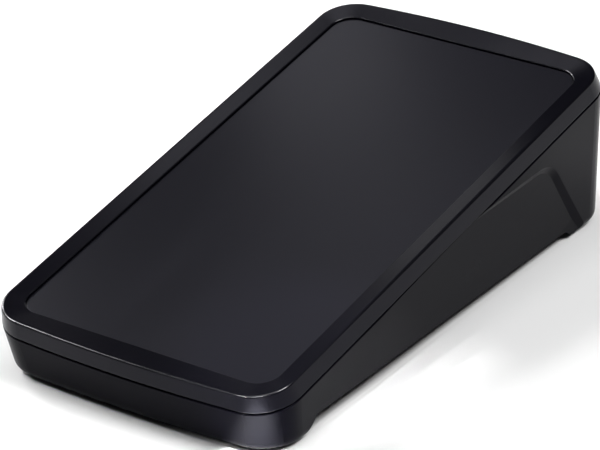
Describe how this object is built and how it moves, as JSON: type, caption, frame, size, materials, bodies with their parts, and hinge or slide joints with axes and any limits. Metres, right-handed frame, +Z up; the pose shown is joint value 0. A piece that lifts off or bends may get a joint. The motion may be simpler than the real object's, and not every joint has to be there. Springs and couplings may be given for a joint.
{
  "type": "logic analyzer",
  "caption": "Wedge-shaped black bench logic analyzer case with a sunk blank top panel, a latched probe header and sockets on its flat rear panel.",
  "frame": {"origin": "on the resting plane, under the middle of the whole device", "axes": "+X to the device's right seen from its low front, +Y to its high rear with the sockets, +Z up"},
  "size_m": [0.087, 0.1708, 0.0454],
  "materials": {
    "case_plastic": "satin moulded ABS, glossy on the rim",
    "overlay_film": "fine satin texture",
    "rear_panel_plastic": "fine matte",
    "foot_rubber": "matte",
    "screw_steel": "zinc plated",
    "board_laminate": "solder mask",
    "chip_plastic": "moulded epoxy",
    "lead_metal": "tin plated",
    "heat_sink_metal": "black anodised",
    "can_metal": "bare can",
    "ferrite": "dark ferrite",
    "header_plastic": "moulded polyester",
    "contact_gold": "gold plated",
    "latch_plastic": "moulded nylon",
    "socket_metal": "nickel plated",
    "insulator_plastic": "white polymer",
    "tongue_plastic": "white polymer",
    "led_green": "tinted epoxy",
    "switch_plastic": "moulded nylon",
    "button_plastic": "red cap",
    "collar_plastic": "black insulating collar"
  },
  "bodies": {
    "case": {"bottom_case": "case_plastic", "top_cover": "case_plastic", "panel_overlay": "overlay_film", "case_screws": "screw_steel", "rubber_feet": "foot_rubber", "rear_panel": "rear_panel_plastic", "main_board": "board_laminate", "board_screws": "screw_steel", "logic_chip": "chip_plastic", "heat_sink": "heat_sink_metal", "memory_chips": "chip_plastic", "usb_controller_chip": "chip_plastic", "clock_crystal": "can_metal", "input_comparators": "chip_plastic", "comparator_leads": "lead_metal", "resistor_networks": "chip_plastic", "voltage_regulators": "chip_plastic", "power_inductor": "ferrite", "storage_capacitors": "can_metal", "probe_header": "header_plastic", "probe_header_pins": "contact_gold", "latch_pivot_pins": "screw_steel", "usb_socket_shell": "socket_metal", "usb_socket_tongue": "tongue_plastic", "trigger_socket": "socket_metal", "trigger_insulator": "insulator_plastic", "trigger_contact": "contact_gold", "trigger_nut": "socket_metal", "ground_socket": "contact_gold", "ground_socket_collar": "collar_plastic", "ground_socket_nut": "socket_metal", "status_led": "led_green", "led_bezel": "switch_plastic", "reset_switch_body": "switch_plastic", "reset_switch_nut": "socket_metal", "power_switch_housing": "switch_plastic", "power_switch_axle": "screw_steel", "power_switch_terminals": "lead_metal", "power_inlet": "switch_plastic", "power_inlet_pin": "lead_metal", "power_inlet_nut": "socket_metal"},
    "latch_left": {"header_latch_left": "latch_plastic"},
    "latch_right": {"header_latch_right": "latch_plastic"},
    "reset_plunger": {"reset_button": "button_plastic"},
    "power_rocker": {"power_switch_rocker": "switch_plastic"}
  },
  "joints": [
    {"name": "latch_left_hinge", "type": "hinge", "parent": "case", "child": "latch_left", "pos_m": [-0.028, 0.0682, 0.01585], "axis": [0, 0, 1], "range_deg": [0, 20]},
    {"name": "latch_right_hinge", "type": "hinge", "parent": "case", "child": "latch_right", "pos_m": [0.01, 0.0682, 0.01585], "axis": [0, 0, -1], "range_deg": [0, 20]},
    {"name": "reset_press", "type": "slide", "parent": "case", "child": "reset_plunger", "axis": [0, -1, 0], "range_m": [0, 0.0012], "stiffness_N_per_m": 1200, "springref_m": -0.0004},
    {"name": "power_rock", "type": "hinge", "parent": "case", "child": "power_rocker", "pos_m": [0.0166, 0.0735, 0.03], "axis": [1, 0, 0], "range_deg": [0, 16]}
  ]
}
